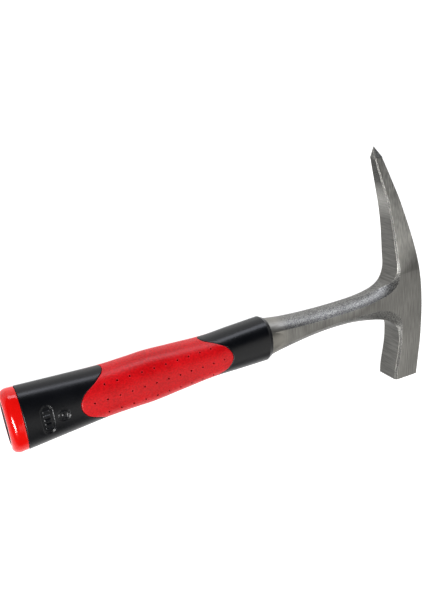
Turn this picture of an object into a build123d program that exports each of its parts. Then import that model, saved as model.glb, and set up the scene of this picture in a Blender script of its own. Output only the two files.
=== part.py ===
"""All-steel pick hammer, lying on its side: a forged head, neck and tang in one piece, and a moulded grip.

Frame: +X runs from the butt of the grip to the head, +Y runs from the striking face to the tip of the pick,
+Z is up. The origin is the middle of the object's base. All sizes are in millimetres.
"""

import os
from math import cos, copysign, pi, sin

from build123d import *

os.makedirs("parts", exist_ok=True)

# Driving dimensions
overall_length = 330.0
head_length = 194.0
head_thickness = 20.0
grip_thickness = 25.0
front_reach = 26.9
face_drop = 73.4
grip_length = 185.0

half_head = head_thickness / 2
half_grip = grip_thickness / 2
handle_y = face_drop - head_length / 2
butt_x = -overall_length / 2
collar_x = butt_x + grip_length

# The forging is drawn on the hammer's middle plane. Its local origin is where the axis of the handle
# meets the inner side of the head, with local x towards the head's front and local y towards the pick.
head_plane = Plane(origin=(overall_length / 2 - front_reach, handle_y, half_grip))
butt_local_x = butt_x - head_plane.origin.X
collar_local_x = collar_x - head_plane.origin.X


# ---------------------------------------------------------------- forging
tip = (-16.4, 120.6)
tip_base_y = 112.0
tip_inner = (-17.2, tip_base_y)
tip_outer = (-10.4, tip_base_y)
face_middle = (11.5, -72.9)
face_lean = 2.8
foot_inner = (0.3, -77.0)
foot_outer = (22.5, -77.0)
shoulder_x = collar_local_x - 6.0
neck_start_x = shoulder_x - 3.0

# Inner side of the pick, round the upper fillet and along the top of the neck
upper_contour = Spline(
    tip_inner,
    (-10.8, 90.0),
    (-5.4, 70.0),
    (-2.2, 50.0),
    (0.2, 31.0),
    (0.0, 20.5),
    (-3.4, 15.4),
    (-8.5, 12.8),
    (-22.0, 9.8),
    (-45.0, 8.8),
    (-75.0, 9.6),
    (-96.0, 10.9),
    (neck_start_x, 14.4),
)

# Underside of the neck, round the lower fillet and down the inner side of the poll
lower_contour = Spline(
    (neck_start_x, -14.4),
    (-96.0, -11.0),
    (-75.0, -9.6),
    (-45.0, -10.4),
    (-22.0, -13.6),
    (-4.0, -19.2),
    (2.2, -24.8),
    (3.9, -32.0),
    (2.9, -48.0),
    foot_inner,
)

# Front of the head, from the striking face up to the tip of the pick
front_contour = Spline(
    foot_outer,
    (25.4, -50.0),
    (26.9, -20.0),
    (25.4, 5.0),
    (18.0, 40.0),
    (7.6, 70.0),
    (-4.9, 100.0),
    tip_outer,
)

# Half thickness of the pick, from where it starts to narrow up to the base of its ground tip
taper_heights = (20.0, 50.0, 80.0, tip_base_y)
taper_halves = (half_head, 8.2, 6.1, 3.0)

# Each bevel station: share of the contour's length, width in the side view, depth, bulge of its section
upper_bevels = (
    (0.00, 0.6, 0.6, 0.02),
    (0.10, 0.8, 0.8, 0.02),
    (0.20, 1.0, 1.0, 0.03),
    (0.30, 1.2, 1.2, 0.03),
    (0.38, 1.4, 1.3, 0.03),
    (0.41, 2.2, 1.5, 0.05),
    (0.435, 4.0, 2.1, 0.15),
    (0.455, 5.2, 3.3, 0.3),
    (0.48, 5.8, 5.0, 0.5),
    (0.52, 5.6, 7.0, 0.8),
    (0.62, 6.0, 8.2, 1.0),
    (0.78, 6.2, 8.4, 1.1),
    (0.90, 6.3, 7.8, 1.3),
    (1.00, 7.0, 7.4, 1.6),
)
lower_bevels = (
    (0.00, 7.0, 7.4, 1.6),
    (0.12, 6.3, 7.8, 1.3),
    (0.25, 6.2, 8.4, 1.1),
    (0.40, 6.8, 8.4, 1.1),
    (0.50, 8.0, 7.8, 1.0),
    (0.58, 9.4, 6.6, 0.9),
    (0.65, 8.5, 5.0, 0.6),
    (0.695, 6.4, 3.6, 0.35),
    (0.73, 3.4, 2.2, 0.15),
    (0.76, 2.0, 1.5, 0.05),
    (0.85, 2.0, 1.3, 0.03),
    (1.00, 1.6, 1.2, 0.03),
)
front_bevels = ((0.0, 0.5, 0.5, 0.02), (1.0, 0.5, 0.5, 0.02))

# Each run of a bevel is one loft: where it starts, where it ends, how many sections it passes through
upper_runs = ((0.0, 0.38, 6), (0.38, 0.54, 11), (0.54, 1.0, 8))
lower_runs = ((0.0, 0.58, 9), (0.58, 0.78, 11), (0.78, 1.0, 4))
front_runs = ((0.0, 1.0, 9),)
bevel_margin = 4.0

# The bulge of a bevel pushes the middle of its section out of the metal, a little more sideways than upwards
bulge_sideways = 0.75
bulge_upwards = 0.65


def half_thickness_at(local_y):
    """Half thickness of the forging at a height above the handle's axis."""
    if local_y <= taper_heights[0]:
        return taper_halves[0]
    spans = zip(taper_heights, taper_heights[1:], taper_halves, taper_halves[1:])
    for low_y, high_y, low_half, high_half in spans:
        if local_y <= high_y:
            return low_half + (high_half - low_half) * (local_y - low_y) / (high_y - low_y)
    return taper_halves[-1]


def bevel_section(contour, share, width, depth, bulge):
    """Section of the metal that one bevel takes off, across the contour at a share of its length."""
    point = contour @ share
    run = contour % share
    across = Vector(run.Y, -run.X, 0)
    half = half_thickness_at(point.Y)
    section_plane = Plane(
        origin=head_plane.from_local_coords(point),
        x_dir=across,
        z_dir=across.cross(Vector(0, 0, -1)),
    )
    ridge = (-width, half)
    edge = (0, half - depth)
    middle = (
        (ridge[0] + edge[0]) / 2 + bulge * bulge_sideways,
        (ridge[1] + edge[1]) / 2 + bulge * bulge_upwards,
    )
    with BuildSketch(section_plane) as section:
        with BuildLine():
            ThreePointArc(ridge, middle, edge)
            Polyline(
                edge,
                (bevel_margin, half - depth),
                (bevel_margin, half + bevel_margin),
                (-width, half + bevel_margin),
                ridge,
            )
        make_face()
    return section.sketch.face()


def blend_stations(stations, share):
    """Bevel width, depth and bulge at a share of a contour, on smooth curves through its stations."""
    last = len(stations) - 1
    low = max(index for index in range(last) if stations[index][0] <= share)
    before, start, stop, after = (stations[min(max(index, 0), last)] for index in range(low - 1, low + 3))
    span = stop[0] - start[0]
    part = (share - start[0]) / span
    blended = []
    for column in range(1, len(start)):
        start_slope = (stop[column] - before[column]) / (stop[0] - before[0])
        stop_slope = (after[column] - start[column]) / (after[0] - start[0])
        rise = stop[column] - start[column]
        bend = start_slope * span - rise
        unbend = rise - stop_slope * span
        curve = part * (1 - part) * (bend * (1 - part) + unbend * part)
        blended.append(start[column] + rise * part + curve)
    return blended


def bevel_run(contour, stations, run):
    """Sections of one run of a bevel, evenly spaced along its contour."""
    start, stop, count = run
    shares = [start + (stop - start) * step / (count - 1) for step in range(count)]
    return [bevel_section(contour, share, *blend_stations(stations, share)) for share in shares]


# ---------------------------------------------------------------- grip sections
oval_power = 2.3
oval_points = 24
grip_plane = Plane(origin=(butt_x, handle_y, half_grip), x_dir=(0, 1, 0), z_dir=(1, 0, 0))


def oval(distance, half_height, half_width, inset):
    """Rounded oval face across the handle, at a distance from the butt, with its sides moved in."""
    high = half_height - inset
    wide = half_width - inset
    points = []
    for step in range(oval_points):
        angle = 2 * pi * step / oval_points
        across = copysign(abs(cos(angle)) ** (2 / oval_power), cos(angle))
        up = copysign(abs(sin(angle)) ** (2 / oval_power), sin(angle))
        points.append((high * across, wide * up))
    with BuildSketch(grip_plane.offset(distance)) as section:
        with BuildLine():
            Spline(*points, periodic=True)
        make_face()
    return section.sketch.face()


# Side outline of the grip: distance from the butt and half height
grip_outline = Spline(
    (0.0, 21.8),
    (42.0, 18.7),
    (63.0, 17.4),
    (80.0, 17.5),
    (94.0, 17.8),
    (112.0, 16.6),
    (138.0, 15.0),
    (158.0, 15.8),
    (182.0, 16.6),
)
grip_section_count = 14


def outline_point(share):
    """Distance from the butt and half height of the grip, at a share of its outline."""
    point = grip_outline @ share
    return point.X, point.Y


# Distance from the butt, half height and half thickness of each section
grip_sections = [
    (*outline_point(step / (grip_section_count - 1)), half_grip)
    for step in range(grip_section_count)
]
collar_sections = (
    grip_sections[-1],
    (grip_length, 15.2, half_grip - 0.8),
)
flare_sections = (
    (177.0, 15.0, 11.3),
    (183.0, 14.4, 11.2),
    (188.0, 13.6, 10.8),
    (196.0, 12.3, 10.0),
    (206.0, 10.9, 8.6),
)
plug_half_height = 14.3
plug_half_thickness = 6.5
plug_recess = 1.6
core_sections = (
    (plug_recess, plug_half_height, plug_half_thickness),
    (60.0, 12.6, plug_half_thickness),
    (172.0, 10.4, plug_half_thickness),
)
mouth_gap = 0.1


# ---------------------------------------------------------------- tang
# Flat tang of the forging, inside the core
tang_thickness = 7.0
tang_root = 8.0
tang_end = 6.0
tang_end_x = butt_local_x + 14.0
tang_overlap = 2.0
tang_root_x = shoulder_x + tang_overlap

with BuildSketch(head_plane) as tang_profile:
    with BuildLine():
        Polyline(
            (tang_root_x, tang_root),
            (tang_end_x, tang_end),
            (tang_end_x, -tang_end),
            (tang_root_x, -tang_root),
            close=True,
        )
    make_face()


# ---------------------------------------------------------------- grip details
# Lobed edges of the soft inlay, in the side view, from the top of the grip to the middle of its side
inlay_depth = 2.2
rear_lobe = [
    (butt_local_x + distance, height)
    for distance, height in ((63.8, 24.0), (63.4, 18.0), (55.4, 12.7), (47.2, 7.6), (43.8, 0.0))
]
front_lobe = [
    (butt_local_x + distance, height)
    for distance, height in ((131.4, 24.0), (132.0, 15.6), (140.8, 12.1), (147.8, 8.2), (151.9, 0.0))
]

# Pinholes of the inlay: a row along the middle of each side and a shorter row on either flank
pinhole_radius = 0.65
pinhole_depth = 0.8
pinhole_pitch = 8.4
pinhole_start = 52.3
pinhole_row_gap = 9.9
pinhole_long_row = 12
pinhole_short_row = 10
pinhole_rows = (
    (0.0, pinhole_long_row),
    (pinhole_row_gap, pinhole_short_row),
    (-pinhole_row_gap, pinhole_short_row),
)

pinholes = []
for row, count in pinhole_rows:
    skipped = (pinhole_long_row - count) / 2
    for index in range(count):
        distance = pinhole_start + (index + skipped) * pinhole_pitch
        half_height = outline_point(distance / grip_sections[-1][0])[1]
        depth_share = 1 - (abs(row) / half_height) ** oval_power
        surface = half_grip * depth_share ** (1 / oval_power)
        for side in (1, -1):
            pinholes.append((butt_x + distance, handle_y + row, half_grip + side * surface))

# Generic sunk badges near the butt: one long and one round
badge_depth = 0.5
badge_y = -0.8
name_badge_x = butt_local_x + 22.9
name_badge_length = 19.6
name_badge_width = 7.4
round_badge_x = butt_local_x + 32.5
round_badge_radius = 4.2

# Glossy cap over the butt
cap_length = 9.5
cap_step = 0.3
cap_round = 3.5
plug_round = 0.6
cap_plane = Plane(origin=(butt_x + cap_length, handle_y, half_grip), z_dir=(1, 0, 0))
cap_sections = (
    (0.0, 21.8, half_grip),
    (cap_length, 21.1, half_grip),
)



# ---------------------------------------------------------------- forging solid
# Edge-on outline of the head: full thickness from below the striking face, then narrowing to the tip
below_face_y = -1.1 * face_drop
narrowing = list(zip(taper_heights, taper_halves))
taper_outline = [
    (below_face_y, half_head),
    *narrowing,
    (tip[1], 0.0),
    *[(height, -half) for height, half in reversed(narrowing)],
    (below_face_y, -half_head),
]
bevels = (
    (upper_contour, upper_bevels, upper_runs),
    (lower_contour, lower_bevels, lower_runs),
    (front_contour, front_bevels, front_runs),
)
face_plane = Plane(
    origin=head_plane.from_local_coords(Vector(*face_middle, 0)),
    z_dir=Vector(0, 1, 0).rotate(Axis.Z, -face_lean),
)
shoulder_plane = Plane(
    origin=head_plane.from_local_coords(Vector(shoulder_x, 0, 0)),
    z_dir=(1, 0, 0),
)
taper_plane = Plane(origin=head_plane.origin, x_dir=(0, 1, 0), z_dir=(1, 0, 0))

with BuildPart() as steel_forging:
    with BuildSketch(head_plane):
        with BuildLine():
            add(upper_contour)
            Line(upper_contour @ 1, lower_contour @ 0)
            add(lower_contour)
            Line(foot_inner, foot_outer)
            add(front_contour)
            Line(tip_outer, tip)
            Line(tip, tip_inner)
        make_face()
    extrude(amount=-half_head)
    with BuildSketch(taper_plane):
        with BuildLine():
            Polyline(*taper_outline, close=True)
        make_face()
    extrude(amount=overall_length, both=True, mode=Mode.INTERSECT)
    for contour, stations, runs in bevels:
        for run in runs:
            loft(bevel_run(contour, stations, run), mode=Mode.SUBTRACT)
    split(bisect_by=face_plane, keep=Keep.TOP)
    split(bisect_by=shoulder_plane, keep=Keep.TOP)
    mirror(about=head_plane)
    loft([oval(*section, 0) for section in flare_sections])
    extrude(tang_profile.sketch, amount=tang_thickness / 2, both=True)

steel_forging.part.label = "steel_forging"
export_step(steel_forging.part, "parts/steel_forging.step")


# ---------------------------------------------------------------- grip core
with BuildPart() as grip_core:
    loft([oval(*section, 0) for section in core_sections])
    extrude(tang_profile.sketch, amount=tang_thickness / 2, both=True, mode=Mode.SUBTRACT)
    plug_edge = grip_core.faces().sort_by(Axis.X)[0].edges()
    fillet(plug_edge, radius=plug_round)

grip_core.part.label = "grip_core"
export_step(grip_core.part, "parts/grip_core.step")


# ---------------------------------------------------------------- soft inlay
with BuildSketch(head_plane) as inlay_outline:
    with BuildLine():
        rear_edge = Spline(*rear_lobe, *[(x, -y) for x, y in reversed(rear_lobe[:-1])])
        front_edge = Spline(*front_lobe, *[(x, -y) for x, y in reversed(front_lobe[:-1])])
        Line(rear_edge @ 0, front_edge @ 0)
        Line(rear_edge @ 1, front_edge @ 1)
    make_face()

inlay_bed = loft([oval(*section, inlay_depth) for section in grip_sections])

with BuildPart() as soft_inlay:
    loft([oval(*section, 0) for section in grip_sections])
    extrude(inlay_outline.sketch, amount=grip_thickness, both=True, mode=Mode.INTERSECT)
    add(inlay_bed, mode=Mode.SUBTRACT)
    with Locations(*pinholes):
        Cylinder(radius=pinhole_radius, height=2 * pinhole_depth, mode=Mode.SUBTRACT)

soft_inlay.part.label = "soft_inlay"
export_step(soft_inlay.part, "parts/soft_inlay.step")


# ---------------------------------------------------------------- grip body
badge_bed = loft([oval(*section, badge_depth) for section in grip_sections])

with BuildPart() as badge_wells:
    with BuildSketch(head_plane):
        with Locations((name_badge_x, badge_y)):
            SlotOverall(name_badge_length, name_badge_width, rotation=90)
        with Locations((round_badge_x, badge_y)):
            Circle(round_badge_radius)
    extrude(amount=grip_thickness)
    add(badge_bed, mode=Mode.SUBTRACT)

with BuildPart() as inlay_well:
    extrude(inlay_outline.sketch, amount=grip_thickness, both=True)
    add(inlay_bed, mode=Mode.SUBTRACT)

with BuildPart() as grip_body:
    loft([oval(*section, 0) for section in grip_sections])
    loft([oval(*section, 0) for section in collar_sections])
    add(inlay_well.part, mode=Mode.SUBTRACT)
    add(badge_wells.part, mode=Mode.SUBTRACT)
    loft([oval(*section, 0) for section in core_sections], mode=Mode.SUBTRACT)
    loft([oval(*section, -mouth_gap) for section in flare_sections], mode=Mode.SUBTRACT)
    extrude(tang_profile.sketch, amount=tang_thickness / 2, both=True, mode=Mode.SUBTRACT)
    split(bisect_by=cap_plane, keep=Keep.TOP)

grip_body.part.label = "grip_body"
export_step(grip_body.part, "parts/grip_body.step")


# ---------------------------------------------------------------- butt cap
with BuildPart() as butt_cap:
    loft([oval(*section, cap_step) for section in cap_sections])
    end_face = butt_cap.faces().sort_by(Axis.X)[0]
    fillet(end_face.edges(), radius=cap_round)
    loft([oval(*section, 0) for section in core_sections], mode=Mode.SUBTRACT)
    plug_mouth = oval(0.0, plug_half_height, plug_half_thickness, 0)
    extrude(plug_mouth, amount=plug_recess, both=True, mode=Mode.SUBTRACT)

butt_cap.part.label = "butt_cap"
export_step(butt_cap.part, "parts/butt_cap.step")
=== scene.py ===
"""Look of the all-steel pick hammer: a steel forging in a moulded black and red grip.

The forging and the core of the grip are the designed parts with finishes of their own. The grip
body, the soft inlay and the butt cap are modelled here, with the rounded edges, seams and marks
of moulded pieces. Lengths in the classes are millimetres, measured from the butt where they run
along the handle, and the scene is in metres.
"""

import logging
import math
from dataclasses import dataclass, field
from enum import Enum
from functools import lru_cache
from typing import Callable, Sequence

import bpy
from mathutils import Matrix, Vector


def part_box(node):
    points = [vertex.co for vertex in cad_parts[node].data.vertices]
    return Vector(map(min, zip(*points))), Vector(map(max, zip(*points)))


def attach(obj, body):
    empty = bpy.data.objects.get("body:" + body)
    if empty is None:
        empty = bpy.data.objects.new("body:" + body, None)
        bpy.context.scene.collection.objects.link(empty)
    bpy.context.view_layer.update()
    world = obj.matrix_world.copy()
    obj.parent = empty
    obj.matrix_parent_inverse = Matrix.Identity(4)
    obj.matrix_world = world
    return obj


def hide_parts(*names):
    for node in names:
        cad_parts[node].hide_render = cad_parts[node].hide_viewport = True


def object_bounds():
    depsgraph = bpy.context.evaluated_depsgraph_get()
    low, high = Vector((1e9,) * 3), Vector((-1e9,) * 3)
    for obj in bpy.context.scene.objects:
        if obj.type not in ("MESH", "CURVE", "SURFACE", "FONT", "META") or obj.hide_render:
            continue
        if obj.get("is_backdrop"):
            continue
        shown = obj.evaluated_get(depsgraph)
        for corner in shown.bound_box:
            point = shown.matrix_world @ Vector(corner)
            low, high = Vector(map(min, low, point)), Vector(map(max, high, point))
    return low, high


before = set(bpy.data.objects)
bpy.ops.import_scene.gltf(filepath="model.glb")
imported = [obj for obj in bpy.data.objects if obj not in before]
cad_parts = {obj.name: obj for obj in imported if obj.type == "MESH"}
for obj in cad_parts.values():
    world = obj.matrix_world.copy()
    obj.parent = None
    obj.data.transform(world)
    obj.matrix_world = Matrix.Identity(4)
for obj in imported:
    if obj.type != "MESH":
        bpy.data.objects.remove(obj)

MM = 0.001
MERGE_DISTANCE = 0.001 * MM
SMOOTH_ANGLE = math.radians(40)
LOG = logging.getLogger("pick_hammer")

Span = tuple[float, float]
Stations = tuple[Span, ...]
Place = tuple[float, float, float]
Ring = Callable[[float], Vector]
Reach = Callable[[float], float]
Relief = Callable[[float, float], float]
Feed = bpy.types.NodeSocket | float | tuple


class Part(str, Enum):
    """Designed parts of the hammer."""

    FORGING = "steel_forging"
    CORE = "grip_core"
    BODY = "grip_body"
    INLAY = "soft_inlay"
    CAP = "butt_cap"


class Slot(str, Enum):
    """Names of the finishes on the modelled pieces; nothing in the script uses them."""

    GRIP = "black_grip"
    INLAY = "red_inlay"
    CAP = "red_cap"


# ---------------------------------------------------------------- shared helpers
def smooth_value(stations: Stations, position: float) -> float:
    """Value of the smooth curve through stations, at a position.

    Args:
        stations: pairs of position and value, in rising order of position.
        position: where the curve is read.

    Returns:
        The value there, or the end value outside the stations.
    """
    last = len(stations) - 1
    if position <= stations[0][0]:
        return stations[0][1]
    if position >= stations[last][0]:
        return stations[last][1]
    low = max(index for index in range(last) if stations[index][0] <= position)
    near = range(low - 1, low + 3)
    before, start, stop, after = (stations[min(max(index, 0), last)] for index in near)
    span = stop[0] - start[0]
    rise = stop[1] - start[1]
    part = (position - start[0]) / span
    bend = (stop[1] - before[1]) / (stop[0] - before[0]) * span - rise
    unbend = rise - (after[1] - start[1]) / (after[0] - start[0]) * span
    return start[1] + rise * part + part * (1 - part) * (bend * (1 - part) + unbend * part)


def soft_step(value: float) -> float:
    """Eases from 0 to 1 as the value goes from 0 to 1."""
    held = min(max(value, 0.0), 1.0)
    return held * held * (3 - 2 * held)


def steady(distance: float) -> Reach:
    """The same distance from the butt all the way round."""
    return lambda angle: distance


def spread(start: float, stop: float, pitch: float) -> list[float]:
    """Evenly spaced places from start to stop, both included, about a pitch apart."""
    count = max(1, round(abs(stop - start) / pitch))
    return [start + (stop - start) * step / count for step in range(count + 1)]


def wrap_rings(name: str, rings: Sequence[Ring], around: int) -> bpy.types.Object:
    """Closed skin through a run of rings, the last joined back to the first.

    A grid is wrapped round, because the lobed edge of the grip is no shape that a tool can sweep.

    Args:
        name: name of the new piece.
        rings: the rings in order, each giving a point for an angle round the handle.

    Returns:
        The piece, with outward normals.
    """
    around = around
    bpy.ops.object.select_all(action="DESELECT")
    bpy.ops.mesh.primitive_grid_add(x_subdivisions=len(rings), y_subdivisions=around, size=1.0)
    piece = bpy.context.object
    piece.name = name
    piece.data.name = name
    for vertex in piece.data.vertices:
        step = round((vertex.co.x + 0.5) * len(rings)) % len(rings)
        turn = round((vertex.co.y + 0.5) * around) % around
        vertex.co = rings[step](math.tau * turn / around)
    bpy.ops.object.mode_set(mode="EDIT")
    bpy.ops.mesh.select_all(action="SELECT")
    bpy.ops.mesh.remove_doubles(threshold=MERGE_DISTANCE)
    bpy.ops.mesh.normals_make_consistent(inside=False)
    bpy.ops.object.mode_set(mode="OBJECT")
    bpy.ops.object.shade_smooth_by_angle(angle=SMOOTH_ANGLE)
    return piece


def fit_out(piece: bpy.types.Object, material: bpy.types.Material, part: Part) -> None:
    """Gives a modelled piece its finish and puts it in the place of its designed part.

    Args:
        piece: the modelled piece.
        material: its finish.
        part: the designed part it stands in for.
    """
    piece.data.materials.clear()
    piece.data.materials.append(material)
    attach(piece, "root")
    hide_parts(part.value)
    LOG.info("%s: %d faces, finish %s", piece.name, len(piece.data.polygons), material.name)


def dress(part: Part, material: bpy.types.Material) -> None:
    """Gives a designed part its finish.

    Args:
        part: the designed part, which keeps its shape and place.
        material: its finish.
    """
    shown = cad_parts[part.value]
    for held in shown.material_slots:
        held.material = material
    LOG.info("%s: kept as designed, finish %s", part.value, material.name)


# ---------------------------------------------------------------- finishes
# Edges are where a rounded normal turns away from the true one; these are cosines between them
EDGE_SAMPLES = 4
EDGE_FACING = (0.995, 0.93)
# Numbers of finer layers in a pattern
FINE, MIDDLING, BROAD = 4.0, 3.0, 2.0


def linear(code: str) -> tuple[float, float, float, float]:
    """Linear colour from an sRGB one.

    Args:
        code: the sRGB colour as a hex code, such as #c8102e.

    Returns:
        Its linear red, green and blue, with full alpha.
    """
    channels = [int(code[start : start + 2], 16) / 255 for start in (1, 3, 5)]
    return *(c / 12.92 if c <= 0.04045 else ((c + 0.055) / 1.055) ** 2.4 for c in channels), 1.0


def add_node(
    tree: bpy.types.NodeTree,
    kind: str,
    feeds: Sequence[Feed] | dict[str | int, Feed] = (),
    out: str | int = 0,
    **settings: object,
) -> bpy.types.NodeSocket:
    """Adds a node with its settings, and feeds its inputs.

    Args:
        tree: the node tree of a material or world.
        kind: the node's type, without the ShaderNode in front.
        feeds: sockets linked to its inputs or values they hold, in order, or by input name or number.
        out: name or number of the output that is wanted.
        **settings: properties of the node.

    Returns:
        That output of the new node.
    """
    node = tree.nodes.new(f"ShaderNode{kind}")
    for key, value in settings.items():
        setattr(node, key, value)
    for key, feed in feeds.items() if isinstance(feeds, dict) else enumerate(feeds):
        if isinstance(feed, bpy.types.NodeSocket):
            tree.links.new(feed, node.inputs[key])
        else:
            node.inputs[key].default_value = feed
    return node.outputs[out]


@dataclass(frozen=True)
class Finish:
    """A finish, with the parts of its shader that every finish needs."""

    name: str

    def start(self) -> tuple[bpy.types.Material, bpy.types.NodeTree, bpy.types.Node]:
        """Starts the finish.

        Returns:
            Its new material, with the node tree and the principled shader.
        """
        material = bpy.data.materials.new(self.name)
        material.use_nodes = True
        return material, material.node_tree, material.node_tree.nodes["Principled BSDF"]

    def pattern(
        self, tree: bpy.types.NodeTree, sizes: Sequence[float], detail: float
    ) -> bpy.types.NodeSocket:
        """Noise over the piece.

        Args:
            tree: the finish's node tree.
            sizes: size of the noise's features along each axis, in millimetres.
            detail: how many finer layers it has.

        Returns:
            The noise, from 0 to 1.
        """
        place = add_node(tree, "TexCoord", out="Object")
        scale = tuple(1 / (size * MM) for size in sizes)
        scaled = add_node(tree, "Mapping", {"Vector": place, "Scale": scale})
        return add_node(tree, "TexNoise", {"Vector": scaled, "Scale": 1.0, "Detail": detail})

    def edge_wear(self, tree: bpy.types.NodeTree, width: float) -> bpy.types.NodeSocket:
        """Wear along the edges.

        Args:
            tree: the finish's node tree.
            width: how far from an edge the wear reaches, in millimetres.

        Returns:
            The share of wear, from 0 on open faces to 1 on edges.
        """
        rounded = add_node(tree, "Bevel", {"Radius": width * MM}, samples=EDGE_SAMPLES)
        normal = add_node(tree, "NewGeometry", out="Normal")
        both = (rounded, normal)
        facing = add_node(tree, "VectorMath", both, out="Value", operation="DOT_PRODUCT")
        return add_node(tree, "MapRange", (facing, *EDGE_FACING, 0.0, 1.0))

    def blend(
        self, tree: bpy.types.NodeTree, share: bpy.types.NodeSocket, start: Feed, stop: Feed
    ) -> bpy.types.NodeSocket:
        """Colour that goes from start to stop with a share.

        Args:
            tree: the finish's node tree.
            share: 0 for the start colour and 1 for the stop colour.
            start: a colour, or the socket that gives it.
            stop: the other colour.

        Returns:
            The blended colour.
        """
        return add_node(tree, "Mix", {0: share, 6: start, 7: stop}, out=2, data_type="RGBA")

    def scale(self, tree: bpy.types.NodeTree, value: Feed, factor: Feed) -> bpy.types.NodeSocket:
        """A colour or place times a factor."""
        return add_node(tree, "VectorMath", {0: value, 3: factor}, operation="SCALE")


@dataclass(frozen=True)
class ForgedSteel(Finish):
    """Drop-forged tool steel: belt-ground flats with fine streaks, and blasted bevels with a grain.

    Zones are millimetres: along the handle in the scene's frame, or as heights off its axis.
    """

    handle_y: float
    ground_dark: str = "#71706d"
    ground_light: str = "#8f8e8a"
    blasted_dark: str = "#555554"
    blasted_light: str = "#908f8b"
    worn: str = "#aeaca6"
    collar_colour: str = "#83817b"
    # Painted shade on the inner faces, chamfers and neck flats, and a painted highlight on the pick's
    # flats
    inner_painted_shade: float = 0.55
    chamfer_painted_shade: float = 0.38
    pick_highlight_gain: float = 3.5
    neck_painted_shade: float = 0.25
    # How squarely a face looks up or down, from bevels to flats and from slopes to upright walls
    flat_facing: Span = (0.93, 0.985)
    steep_facing: Span = (0.45, 0.25)
    head_zone: Span = (126.0, 134.0)
    neck_zone: Span = (66.0, 132.0)
    collar_zone: Span = (37.0, 27.0)
    chamfer_zone: Span = (24.0, 36.0)
    tip_zone: Span = (111.0, 113.0)
    # The pick's painted highlight starts at its root, crossed at a slant: height plus this times the
    # distance along the handle
    pick_zone: Span = (-52.0, -26.0)
    pick_slant: float = -0.5
    # Sizes of the belt's streaks on flats and inner faces, of the grain and of the clouds
    lengthways: Place = (0.5, 14.0, 0.5)
    crossways: Place = (9.0, 0.9, 14.0)
    grain: Place = (0.9, 0.9, 0.9)
    clouds: Place = (16.0, 16.0, 16.0)
    # Spans of each pattern over which its effect goes from none to all
    streak_span: Span = (0.35, 0.65)
    grain_span: Span = (0.38, 0.62)
    cloud_span: Span = (0.35, 0.65)
    wear_span: Span = (0.3, 0.6)
    relief_span: Span = (0.3, 0.7)
    cloud_shade: float = 0.82
    wear_width: float = 0.5
    wear_least: float = 0.45
    relief_depth: float = 0.15
    blasted_tooth: float = 0.55
    ground_tooth: float = 0.16
    blasted_roughness: float = 0.46
    ground_roughness: float = 0.36
    roughness_spread: float = 0.06

    def make(self) -> bpy.types.Material:
        """Mixes the finish.

        Returns:
            Its material.
        """
        material, tree, shader = self.start()
        up = add_node(tree, "SeparateXYZ", (add_node(tree, "TexCoord", out="Normal"),), out="Z")
        upright = add_node(tree, "Math", (up,), operation="ABSOLUTE")
        place = self.scale(tree, add_node(tree, "TexCoord", out="Object"), 1 / MM)
        along = add_node(tree, "SeparateXYZ", (place,), out="X")
        level = add_node(tree, "SeparateXYZ", (place,), out="Y")
        height = add_node(tree, "Math", (level, self.handle_y / MM), operation="SUBTRACT")

        # Where the steel is ground: its flats, and the inner faces of the head
        flat = add_node(tree, "MapRange", (upright, *self.flat_facing, 0.0, 1.0))
        steep = add_node(tree, "MapRange", (upright, *self.steep_facing, 0.0, 1.0))
        on_head = add_node(tree, "MapRange", (along, *self.head_zone, 0.0, 1.0))
        inner = add_node(tree, "Math", (steep, on_head), operation="MULTIPLY")
        ground = add_node(tree, "Math", (flat, inner), operation="MAXIMUM")

        # Ground colour, with the belt's streaks, a painted highlight on the pick and painted shade on
        # the neck and inner faces
        lengthways = self.pattern(tree, self.lengthways, FINE)
        crossways = self.pattern(tree, self.crossways, FINE)
        streaks = add_node(tree, "Mix", {0: inner, 2: lengthways, 3: crossways})
        # The pick's flats get a painted highlight, and the neck's flats painted shade
        slanted = add_node(tree, "Math", (along, self.pick_slant, height), operation="MULTIPLY_ADD")
        polished = add_node(tree, "MapRange", (slanted, *self.pick_zone, 1.0, self.pick_highlight_gain))
        neck = add_node(tree, "MapRange", (along, *self.neck_zone, self.neck_painted_shade, 1.0))
        gain = add_node(tree, "Math", (neck, polished), operation="MULTIPLY")
        gain = add_node(tree, "Mix", {0: inner, 2: gain, 3: self.inner_painted_shade})
        share = add_node(tree, "MapRange", (streaks, *self.streak_span, 0.0, 1.0))
        streaked = self.blend(tree, share, linear(self.ground_dark), linear(self.ground_light))
        streaked = self.scale(tree, streaked, gain)

        # Blasted colour, with painted shade on the chamfers away from the handle but not at the tip
        grain = self.pattern(tree, self.grain, FINE)
        away = add_node(tree, "Math", (height,), operation="ABSOLUTE")
        thin = add_node(tree, "MapRange", (away, *self.chamfer_zone, 1.0, self.chamfer_painted_shade))
        at_tip = add_node(tree, "MapRange", (height, *self.tip_zone, 0.0, 1.0))
        thin = add_node(tree, "Mix", {0: at_tip, 2: thin, 3: 1.0})
        share = add_node(tree, "MapRange", (grain, *self.grain_span, 0.0, 1.0))
        blasted = self.blend(tree, share, linear(self.blasted_dark), linear(self.blasted_light))
        blasted = self.scale(tree, blasted, thin)

        # Both together, lighter towards the collar, clouded all over and worn along the edges
        clouds = self.pattern(tree, self.clouds, BROAD)
        colour = self.blend(tree, ground, blasted, streaked)
        at_collar = add_node(tree, "MapRange", (along, *self.collar_zone, 0.0, 1.0))
        colour = self.blend(tree, at_collar, colour, linear(self.collar_colour))
        shade = add_node(tree, "MapRange", (clouds, *self.cloud_span, self.cloud_shade, 1.0))
        colour = self.scale(tree, colour, shade)
        broken = add_node(tree, "MapRange", (clouds, *self.wear_span, self.wear_least, 1.0))
        wear = self.edge_wear(tree, self.wear_width)
        wear = add_node(tree, "Math", (wear, broken), operation="MULTIPLY")
        colour = self.blend(tree, wear, colour, linear(self.worn))
        tree.links.new(colour, shader.inputs["Base Color"])

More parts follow.
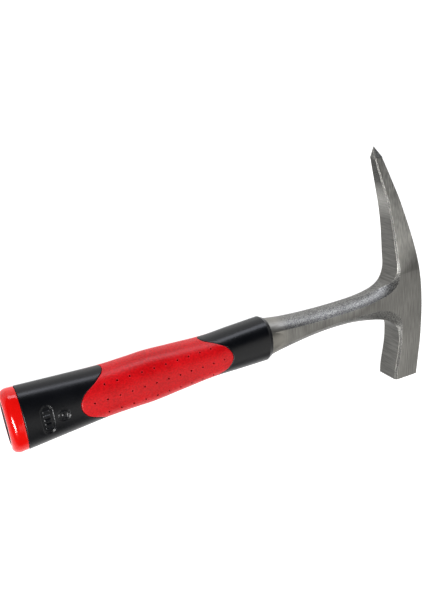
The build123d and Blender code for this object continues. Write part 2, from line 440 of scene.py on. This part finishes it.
        relief = add_node(tree, "Mix", {0: ground, 2: grain, 3: streaks})
        feeds = (ground, 0.0, 1.0, self.blasted_tooth, self.ground_tooth)
        tooth = add_node(tree, "MapRange", feeds)
        feeds = {"Strength": tooth, "Distance": self.relief_depth * MM, "Height": relief}
        tree.links.new(add_node(tree, "Bump", feeds), shader.inputs["Normal"])
        feeds = (ground, 0.0, 1.0, self.blasted_roughness, self.ground_roughness)
        gloss = add_node(tree, "MapRange", feeds)
        feeds = (relief, *self.relief_span, -self.roughness_spread, self.roughness_spread)
        rough = add_node(tree, "Math", (gloss, add_node(tree, "MapRange", feeds)), operation="ADD")
        tree.links.new(rough, shader.inputs["Roughness"])
        shader.inputs["Metallic"].default_value = 1.0
        return material


@dataclass(frozen=True)
class MouldedPlastic(Finish):
    """Injection-moulded plastic or rubber: faint clouds, a fine grain and paler edges."""

    colour: str
    clouded: str
    worn: str
    roughness: float
    grain: float
    tooth: float
    speckle: float
    wear: float = 0.5
    wear_width: float = 0.6
    cloud_size: float = 18.0
    # Spans of each pattern over which its effect goes from none to all
    cloud_span: Span = (0.35, 0.7)
    speckle_span: Span = (0.35, 0.6)
    roughness_span: Span = (0.3, 0.7)
    roughness_share: Span = (0.9, 1.1)
    relief_depth: float = 0.1
    specular: float = 0.5
    coat: float = 0.0
    coat_roughness: float = 0.05

    def make(self) -> bpy.types.Material:
        """Mixes the finish.

        Returns:
            Its material.
        """
        material, tree, shader = self.start()
        clouds = self.pattern(tree, (self.cloud_size,) * 3, MIDDLING)
        grain = self.pattern(tree, (self.grain,) * 3, MIDDLING)
        share = add_node(tree, "MapRange", (clouds, *self.cloud_span, 0.0, 1.0))
        colour = self.blend(tree, share, linear(self.colour), linear(self.clouded))
        shade = add_node(tree, "MapRange", (grain, *self.speckle_span, 1.0 - self.speckle, 1.0))
        colour = self.scale(tree, colour, shade)
        edges = self.edge_wear(tree, self.wear_width)
        wear = add_node(tree, "Math", (edges, self.wear), operation="MULTIPLY")
        colour = self.blend(tree, wear, colour, linear(self.worn))
        tree.links.new(colour, shader.inputs["Base Color"])
        feeds = {"Strength": self.tooth, "Distance": self.relief_depth * MM, "Height": grain}
        tree.links.new(add_node(tree, "Bump", feeds), shader.inputs["Normal"])
        ends = (self.roughness * share for share in self.roughness_share)
        rough = add_node(tree, "MapRange", (clouds, *self.roughness_span, *ends))
        tree.links.new(rough, shader.inputs["Roughness"])
        shader.inputs["Specular IOR Level"].default_value = self.specular
        shader.inputs["Coat Weight"].default_value = self.coat
        shader.inputs["Coat Roughness"].default_value = self.coat_roughness
        return material


# Satin black shell, injection moulded: a deep black with a soft highlight along its shoulder
BLACK_SHELL = MouldedPlastic(
    "black polypropylene",
    colour="#040508",
    clouded="#07080c",
    worn="#191b20",
    roughness=0.3,
    grain=0.7,
    tooth=0.2,
    speckle=0.4,
    specular=0.27,
)
# Soft inlay, moulded over the shell: matt, with a fine leathery grain
RED_RUBBER = MouldedPlastic(
    "red thermoplastic elastomer",
    colour="#b8020a",
    clouded="#c60610",
    worn="#e03c46",
    roughness=0.38,
    grain=1.3,
    tooth=1.0,
    speckle=0.28,
    specular=0.24,
)
# Butt cap, straight from a polished mould: saturated, with sharp reflections
RED_CAP = MouldedPlastic(
    "red polished polypropylene",
    colour="#c90805",
    clouded="#d4100b",
    worn="#ee4a40",
    roughness=0.13,
    grain=2.5,
    tooth=0.03,
    speckle=0.03,
    specular=0.28,
    coat=0.12,
)
# Core of the grip, moulded round the tang: dull charcoal
CORE_NYLON = MouldedPlastic(
    "charcoal filled nylon",
    colour="#131316",
    clouded="#1a1a1d",
    worn="#3c3c42",
    roughness=0.5,
    grain=0.6,
    tooth=0.2,
    speckle=0.2,
    specular=0.3,
)


# ---------------------------------------------------------------- grip
@dataclass(frozen=True)
class GripSkin:
    """Outer shape of the grip: ovals along the handle, and the lobed edges of its soft inlay."""

    butt_x: float
    axis_y: float
    axis_z: float
    half_width: float
    oval_power: float = 2.3
    # Rounds in which the inlay's edge settles, since its place depends on the grip's height there
    edge_rounds: int = 4
    # Distance from the butt and half height
    outline: Stations = (
        (0.0, 21.8),
        (42.0, 18.7),
        (63.0, 17.4),
        (80.0, 17.5),
        (94.0, 17.8),
        (112.0, 16.6),
        (138.0, 15.0),
        (158.0, 15.8),
        (182.0, 16.6),
    )
    # Height off the axis and distance from the butt, along the inlay's rear and front edges
    rear_lobe: Stations = (
        (-7.6, 47.2),
        (0.0, 43.8),
        (7.6, 47.2),
        (12.7, 55.4),
        (18.0, 63.4),
        (24.0, 63.8),
    )
    front_lobe: Stations = (
        (-8.2, 147.8),
        (0.0, 151.9),
        (8.2, 147.8),
        (12.1, 140.8),
        (15.6, 132.0),
        (24.0, 131.4),
    )

    def half_height(self, distance: float) -> float:
        """Half height of the grip at a distance from the butt."""
        return smooth_value(self.outline, distance)

    def oval_point(self, distance: float, high: float, wide: float, angle: float) -> Vector:
        """Point of a rounded oval across the handle.

        Args:
            distance: distance of the oval from the butt.
            high: its half size in the hammer's plane.
            wide: its half size across that plane.
            angle: angle round the handle.

        Returns:
            The point, in metres.
        """
        share = 2 / self.oval_power
        across = math.copysign(abs(math.cos(angle)) ** share, math.cos(angle)) * high
        up = math.copysign(abs(math.sin(angle)) ** share, math.sin(angle)) * wide
        place = (self.butt_x + distance * MM, self.axis_y + across * MM, self.axis_z + up * MM)
        return Vector(place)

    def oval(self, distance: float, high: float, wide: float) -> Ring:
        """Ring of a plain oval."""
        return lambda angle: self.oval_point(distance, high, wide, angle)

    def ring(self, reach: Reach, inset: float = 0.0, relief: Relief | None = None) -> Ring:
        """Ring on the skin.

        Args:
            reach: its distance from the butt for each angle.
            inset: how far it lies under the skin.
            relief: further depth, for a distance from the butt and a height on the upper side.

        Returns:
            The ring.
        """

        def place(angle: float) -> Vector:
            """Point of the ring.

            Args:
                angle: angle round the handle.

            Returns:
                The point, in metres.
            """
            distance = reach(angle)
            high = self.half_height(distance) - inset
            wide = self.half_width - inset
            point = self.oval_point(distance, high, wide, angle)
            if relief is None or math.sin(angle) <= 0:
                return point
            sunk = relief(distance, (point.y - self.axis_y) / MM)
            return self.oval_point(distance, high - sunk, wide - sunk, angle)

        return place

    @lru_cache(maxsize=None)
    def lobe_edge(self, front: bool, angle: float) -> float:
        """Distance from the butt to an edge of the inlay.

        Args:
            front: whether it is the front edge, not the rear.
            angle: angle round the handle.

        Returns:
            The distance.
        """
        lobe = self.front_lobe if front else self.rear_lobe
        distance = lobe[1][1]
        for _ in range(self.edge_rounds):
            level = abs(math.cos(angle)) ** (2 / self.oval_power) * self.half_height(distance)
            distance = smooth_value(lobe, level)
        return distance

    def beside(self, front: bool, offset: float) -> Reach:
        """Places a little way along the handle from the inlay's front or rear edge."""
        return lambda angle: self.lobe_edge(front, angle) + offset

    def between(self, start: Reach, stop: Reach, share: float) -> Reach:
        """Places at a share of the way from start to stop."""
        return lambda angle: start(angle) + (stop(angle) - start(angle)) * share


@dataclass(frozen=True)
class Badges:
    """Sunk marks near the butt: a long panel with plain bars, and a disc with a ring and a stud."""

    centre_y: float = -0.8
    panel_x: float = 22.9
    panel_length: float = 19.6
    panel_width: float = 7.4
    panel_depth: float = 0.75
    bar_depth: float = 0.6
    bar_pitch: float = 3.0
    bar_count: int = 5
    bar_length: float = 4.2
    bar_width: float = 1.3
    round_x: float = 32.5
    round_radius: float = 4.2
    round_depth: float = 0.45
    ring_radius: float = 2.7
    ring_width: float = 0.8
    stud_radius: float = 1.1
    wall: float = 0.45

    def cut(self, outside: float, depth: float) -> float:
        """Depth of a sunk area at a signed distance outside its outline."""
        return depth * soft_step(-outside / self.wall)

    def depth(self, distance: float, height: float) -> float:
        """Depth of the marks under the skin.

        Args:
            distance: distance from the butt.
            height: height off the axis in the side view.

        Returns:
            The depth there.
        """
        along = distance - self.panel_x
        level = height - self.centre_y
        half_straight = (self.panel_length - self.panel_width) / 2
        outside = math.hypot(along, max(abs(level) - half_straight, 0.0)) - self.panel_width / 2
        sunk = self.cut(outside, self.panel_depth)
        nearest = round(level / self.bar_pitch)
        if abs(nearest) <= self.bar_count // 2:
            off_bar = abs(level - nearest * self.bar_pitch)
            off_end = max(abs(along) - (self.bar_length - self.bar_width) / 2, 0.0)
            sunk -= self.cut(math.hypot(off_bar, off_end) - self.bar_width / 2, self.bar_depth)
        radius = math.hypot(distance - self.round_x, level)
        sunk += self.cut(radius - self.round_radius, self.round_depth)
        sunk -= self.cut(abs(radius - self.ring_radius) - self.ring_width / 2, self.round_depth)
        sunk -= self.cut(radius - self.stud_radius, self.round_depth)
        return max(sunk, 0.0)


@dataclass(frozen=True)
class GripBody:
    """Black shell of the grip, with the inlay's seat, sunk badges and a chamfered collar."""

    skin: GripSkin
    badges: Badges = field(default_factory=Badges)
    joint: float = 9.5
    rear_margin: float = 2.0
    badge_zone: Span = (16.0, 39.0)
    rear_even: float = 42.0
    front_even: float = 158.0
    seat_depth: float = 2.3
    plain_pitch: float = 1.5
    badge_pitch: float = 0.34
    collar_pitch: float = 2.0
    rear_steps: int = 14
    seat_steps: int = 22
    front_steps: int = 12
    around: int = 288
    # Distance beyond the inlay's edge and depth under the skin, over the rounded lip of the seat
    lip: Stations = ((-0.7, 0.0), (-0.35, 0.05), (-0.12, 0.22), (0.0, 0.55), (0.0, 1.2))
    # Distance past the joint and depth under the skin, over the rounded rear edge
    rear_round: Stations = ((0.05, 1.2), (0.05, 0.2), (0.1, 0.06), (0.2, 0.0), (0.7, 0.0))
    # Distance from the butt, half height and half width, over the collar and back down the bore
    collar: tuple[Place, ...] = (
        (181.6, 16.59, 12.5),
        (181.9, 16.58, 12.49),
        (182.05, 16.5, 12.44),
        (182.15, 16.4, 12.36),
        (182.4, 16.25, 12.26),
        (184.4, 15.2, 11.7),
        (184.75, 15.02, 11.58),
        (184.9, 14.92, 11.5),
        (185.0, 14.7, 11.35),
        (184.9, 14.45, 11.2),
        (184.5, 14.35, 11.2),
        (183.0, 14.5, 11.3),
        (176.9, 15.1, 11.4),
        (176.85, 9.0, 6.6),
        (172.0, 10.5, 6.6),
        (60.0, 12.7, 6.6),
        (9.55, 14.2, 6.6),
    )

    def rings(self) -> list[Ring]:
        """Rings from the rear joint over the skin and seat to the collar, and back down the bore.

        Returns:
            The rings in order.
        """
        skin = self.skin
        rear_lip = skin.beside(False, self.lip[0][0])
        front_lip = skin.beside(True, -self.lip[0][0])
        rings = [skin.ring(steady(self.joint + past), sunk) for past, sunk in self.rear_round]
        zone_start, zone_stop = self.badge_zone
        places = spread(self.joint + self.rear_margin, zone_start, self.plain_pitch)[:-1]
        places += spread(zone_start, zone_stop, self.badge_pitch)
        places += spread(zone_stop, self.rear_even, self.plain_pitch)[1:]
        rings += [skin.ring(steady(place), 0.0, self.badges.depth) for place in places]
        even = steady(self.rear_even)
        shares = [step / self.rear_steps for step in range(1, self.rear_steps)]
        rings += [skin.ring(skin.between(even, rear_lip, share)) for share in shares]
        rings += [skin.ring(skin.beside(False, off), sunk) for off, sunk in self.lip]
        ends = skin.beside(False, 0.0), skin.beside(True, 0.0)
        shares = [step / self.seat_steps for step in range(self.seat_steps + 1)]
        rings += [skin.ring(skin.between(*ends, share), self.seat_depth) for share in shares]
        rings += [skin.ring(skin.beside(True, -off), sunk) for off, sunk in reversed(self.lip)]
        even = steady(self.front_even)
        shares = [step / self.front_steps for step in range(1, self.front_steps + 1)]
        rings += [skin.ring(skin.between(front_lip, even, share)) for share in shares]
        places = spread(self.front_even, self.collar[0][0], self.collar_pitch)[1:-1]
        rings += [skin.ring(steady(place)) for place in places]
        rings += [skin.oval(*section) for section in self.collar]
        return rings

    def build(self) -> None:
        """Models the shell and puts it in place."""
        piece = wrap_rings("grip_shell", self.rings(), self.around)
        fit_out(piece, BLACK_SHELL.make(), Part.BODY)


@dataclass(frozen=True)
class SoftInlay:
    """Red soft inlay round the middle of the grip, with a rounded rim and rows of pinholes."""

    skin: GripSkin
    depth: float = 2.15
    # Distance inside the inlay's edge and depth under the skin, over its rounded rim
    rim: Stations = ((0.12, 2.15), (0.12, 1.1), (0.14, 0.6), (0.28, 0.25), (0.55, 0.06), (1.0, 0.0))
    pinhole_radius: float = 0.7
    pinhole_depth: float = 1.3
    pinhole_pitch: float = 8.4
    pinhole_start: float = 52.3
    pin_sides: int = 12
    skin_steps: int = 80
    under_steps: int = 24
    around: int = 176
    # Height of each row in the side view and its number of pinholes
    pinhole_rows: tuple[tuple[float, int], ...] = ((0.0, 12), (9.9, 10), (-9.9, 10))

    def rings(self) -> list[Ring]:
        """Rings over the outside of the inlay and back along its underside.

        Returns:
            The rings in order.
        """
        skin = self.skin
        inner = self.rim[-1][0]
        rear, front = skin.beside(False, inner), skin.beside(True, -inner)
        rings = [skin.ring(skin.beside(False, off), sunk) for off, sunk in self.rim]
        shares = [step / self.skin_steps for step in range(1, self.skin_steps)]
        rings += [skin.ring(skin.between(rear, front, share)) for share in shares]
        rings += [skin.ring(skin.beside(True, -off), sunk) for off, sunk in reversed(self.rim)]
        shares = [step / self.under_steps for step in range(1, self.under_steps)]
        rings += [skin.ring(skin.between(front, rear, share), self.depth) for share in shares]
        return rings

    def pinholes(self) -> list[Vector]:
        """Places of the pinholes on the skin.

        Returns:
            The places, in metres.
        """
        skin = self.skin
        longest = max(count for _, count in self.pinhole_rows)
        places = []
        for row, count in self.pinhole_rows:
            for index in range(count):
                distance = self.pinhole_start + (index + (longest - count) / 2) * self.pinhole_pitch
                share = 1 - (abs(row) / skin.half_height(distance)) ** skin.oval_power
                level = skin.half_width * share ** (1 / skin.oval_power)
                for side in (1, -1):
                    along, across = skin.butt_x + distance * MM, skin.axis_y + row * MM
                    places.append(Vector((along, across, skin.axis_z + side * level * MM)))
        return places

    def drill(self, piece: bpy.types.Object) -> None:
        """Cuts the pinholes with one set of pins.

        Args:
            piece: the inlay without its pinholes.
        """
        bpy.ops.object.select_all(action="DESELECT")
        radius, length = self.pinhole_radius * MM, 2 * self.pinhole_depth * MM
        bpy.ops.mesh.primitive_cylinder_add(vertices=self.pin_sides, radius=radius, depth=length)
        pin = bpy.context.object
        pins = []
        for place in self.pinholes():
            copy = pin.copy()
            copy.data = pin.data.copy()
            copy.data.transform(Matrix.Translation(place))
            bpy.context.collection.objects.link(copy)
            pins.append(copy)
        bpy.data.objects.remove(pin)
        for copy in pins:
            copy.select_set(True)
        bpy.context.view_layer.objects.active = pins[0]
        bpy.ops.object.join()
        cutter = bpy.context.object
        cutter.matrix_world = Matrix.Identity(4)
        bpy.ops.object.select_all(action="DESELECT")
        bpy.context.view_layer.objects.active = piece
        piece.select_set(True)
        cut = piece.modifiers.new("pinholes", "BOOLEAN")
        cut.operation = "DIFFERENCE"
        cut.solver = "EXACT"
        cut.object = cutter
        bpy.ops.object.modifier_apply(modifier=cut.name)
        bpy.data.objects.remove(cutter)
        bpy.ops.object.shade_smooth_by_angle(angle=SMOOTH_ANGLE)

    def build(self) -> None:
        """Models the inlay and puts it in place."""
        piece = wrap_rings("soft_grip_inlay", self.rings(), self.around)
        self.drill(piece)
        fit_out(piece, RED_RUBBER.make(), Part.INLAY)


@dataclass(frozen=True)
class ButtCap:
    """Glossy red ring over the grip's end, with a rounded rim round the plug of the core."""

    skin: GripSkin
    step: float = 0.2
    rim_length: float = 5.4
    rim_depth: float = 4.2
    rim_steps: int = 12
    side_start: float = 8.0
    side_pitch: float = 1.0
    around: int = 192
    # Distance from the butt and depth under the skin, over the edge at the joint
    joint_round: Stations = ((9.42, 1.4), (9.42, 0.7), (9.34, 0.42), (9.1, 0.25), (8.7, 0.2))
    # Distance from the butt, half height and half width, over the inner edge and down the hole
    hole: tuple[Place, ...] = (
        (0.0, 15.5, 7.7),
        (0.08, 15.1, 7.3),
        (0.3, 14.75, 6.95),
        (0.7, 14.5, 6.7),
        (1.2, 14.42, 6.62),
        (5.0, 14.4, 6.6),
        (9.42, 14.35, 6.6),
    )

    def rings(self) -> list[Ring]:
        """Rings from the joint over the rim and the end to the hole, and back to the joint.

        Returns:
            The rings in order.
        """
        skin = self.skin
        rings = [skin.ring(steady(place), sunk) for place, sunk in self.joint_round]
        places = spread(self.side_start, self.rim_length, self.side_pitch)
        rings += [skin.ring(steady(place), self.step) for place in places]
        for step in range(1, self.rim_steps + 1):
            turn = math.pi / 2 * step / self.rim_steps
            place = self.rim_length * (1 - math.sin(turn))
            sunk = self.step + self.rim_depth * (1 - math.cos(turn))
            rings.append(skin.ring(steady(place), sunk))
        rings += [skin.oval(*section) for section in self.hole]
        return rings

    def build(self, lining: bpy.types.Material) -> None:
        """Models the cap and puts it in place.

        Args:
            lining: finish of the wall of its hole, which belongs to the core.
        """
        piece = wrap_rings("butt_cap_ring", self.rings(), self.around)
        fit_out(piece, RED_CAP.make(), Part.CAP)
        piece.data.materials.append(lining)
        _, mouth_high, mouth_wide = self.hole[1]
        for face in piece.data.polygons:
            across = abs(face.center.y - self.skin.axis_y) / (mouth_high * MM)
            up = abs(face.center.z - self.skin.axis_z) / (mouth_wide * MM)
            if across**self.skin.oval_power + up**self.skin.oval_power < 1.0:
                face.material_index = 1


# ---------------------------------------------------------------- studio
@dataclass(frozen=True)
class Softbox:
    """One soft studio light."""

    place: Place
    width: float
    height: float
    watts: float
    tint: str = "#ffffff"
    target: Place = (0.0, 0.0, 0.0)

    def build(self, name: str) -> None:
        """Hangs the light and turns it to its target.

        Args:
            name: name of the light.
        """
        lamp = bpy.data.lights.new(name, "AREA")
        lamp.shape = "RECTANGLE"
        lamp.size = self.width
        lamp.size_y = self.height
        lamp.energy = self.watts
        lamp.color = linear(self.tint)[:3]
        holder = bpy.data.objects.new(name, lamp)
        bpy.context.collection.objects.link(holder)
        holder.location = self.place
        aim = Vector(self.target) - Vector(self.place)
        holder.rotation_euler = aim.to_track_quat("-Z", "Y").to_euler()


@dataclass(frozen=True)
class Studio:
    """White table, soft light and the camera."""

    floor_size: float = 6.0
    floor_gap: float = 0.1
    floor_roughness: float = 0.9
    floor_colour: str = "#989898"
    glow_colour: str = "#ffffff"
    floor_glow: float = 1.0
    sky_colour: str = "#ffffff"
    overhead: float = 0.04
    # Heights on the sky, as sines, between which its pale horizon fades to the dim overhead
    horizon: Span = (0.15, 0.45)
    boxes: tuple[Softbox, ...] = (
        Softbox((0.35, 1.15, 0.45), 1.6, 0.45, 14.5, "#eff3ff"),
        Softbox((-0.62, -0.42, 0.92), 0.45, 0.22, 14.0),
        Softbox((0.50, -0.62, 0.92), 1.0, 0.9, 3.8, "#fffefb"),
    )
    camera_place: Place = (-0.1908, 0.1713, 0.3593)
    camera_right: Place = (0.8753, -0.0928, 0.4746)
    camera_up: Place = (0.2538, 0.9235, -0.2876)
    camera_back: Place = (-0.4116, 0.3722, 0.8319)
    lens: float = 37.2
    clip_start: float = 0.01

    def build_floor(self) -> None:
        """Lays the pale table top, softly lit from below so that it stays even."""
        bpy.ops.object.select_all(action="DESELECT")
        under = (0, 0, -self.floor_gap * MM)
        bpy.ops.mesh.primitive_plane_add(size=self.floor_size, location=under)
        floor = bpy.context.object
        floor.name = "table_top"
        material = bpy.data.materials.new("opal acrylic")
        material.use_nodes = True
        shader = material.node_tree.nodes["Principled BSDF"]
        shader.inputs["Base Color"].default_value = linear(self.floor_colour)
        shader.inputs["Roughness"].default_value = self.floor_roughness
        shader.inputs["Emission Color"].default_value = linear(self.glow_colour)
        shader.inputs["Emission Strength"].default_value = self.floor_glow
        floor.data.materials.append(material)
        floor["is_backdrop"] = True

    def build_light(self) -> None:
        """Sets the surround, pale round the horizon and dim overhead, and hangs the softboxes."""
        world = bpy.data.worlds.new("pale surround")
        bpy.context.scene.world = world
        world.use_nodes = True
        tree = world.node_tree
        direction = add_node(tree, "TexCoord", out="Generated")
        height = add_node(tree, "SeparateXYZ", (direction,), out="Z")
        feeds = (height, *self.horizon, 1.0, self.overhead)
        strength = add_node(tree, "MapRange", feeds, interpolation_type="SMOOTHSTEP")
        tree.links.new(strength, tree.nodes["Background"].inputs["Strength"])
        tree.nodes["Background"].inputs["Color"].default_value = linear(self.sky_colour)
        for index, box in enumerate(self.boxes):
            box.build(f"softbox_{index + 1}")
        bpy.context.scene.view_settings.view_transform = "Standard"

    def build_camera(self) -> None:
        """Places the camera above the butt, looking along the handle to the head."""
        camera = bpy.data.cameras.new("camera")
        camera.lens = self.lens
        camera.clip_start = self.clip_start
        holder = bpy.data.objects.new("camera", camera)
        bpy.context.collection.objects.link(holder)
        axes = (Vector(self.camera_right), Vector(self.camera_up), Vector(self.camera_back))
        turned = Matrix([axis.normalized() for axis in axes]).transposed().to_4x4()
        holder.matrix_world = Matrix.Translation(self.camera_place) @ turned
        bpy.context.scene.camera = holder

    def build(self) -> None:
        """Sets the whole studio."""
        self.build_floor()
        self.build_light()
        self.build_camera()
        LOG.info("studio: floor, %d softboxes and camera", len(self.boxes))


def grip_skin() -> GripSkin:
    """Skin of the grip, placed by the designed grip body and cap.

    Returns:
        The skin.
    """
    cap_low, cap_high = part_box(Part.CAP.value)
    body_low, body_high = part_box(Part.BODY.value)
    middle = (body_low + body_high) / 2
    return GripSkin(
        butt_x=cap_low.x,
        axis_y=(cap_low.y + cap_high.y) / 2,
        axis_z=middle.z,
        half_width=(body_high.z - body_low.z) / 2 / MM,
    )


def main() -> None:
    """Builds the hammer and its studio in order, and works out the boxes of design and result."""
    logging.basicConfig(level=logging.INFO, format="%(name)s %(message)s")
    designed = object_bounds()
    skin = grip_skin()
    dress(Part.FORGING, ForgedSteel("forged tool steel", handle_y=skin.axis_y).make())
    core_finish = CORE_NYLON.make()
    dress(Part.CORE, core_finish)
    GripBody(skin).build()
    SoftInlay(skin).build()
    ButtCap(skin).build(core_finish)
    Studio().build()
    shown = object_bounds()
    boxes = {"cad": designed, "shown": shown}
    boxes = {name: [list(corner) for corner in box] for name, box in boxes.items()}


if __name__ == "__main__":
    main()
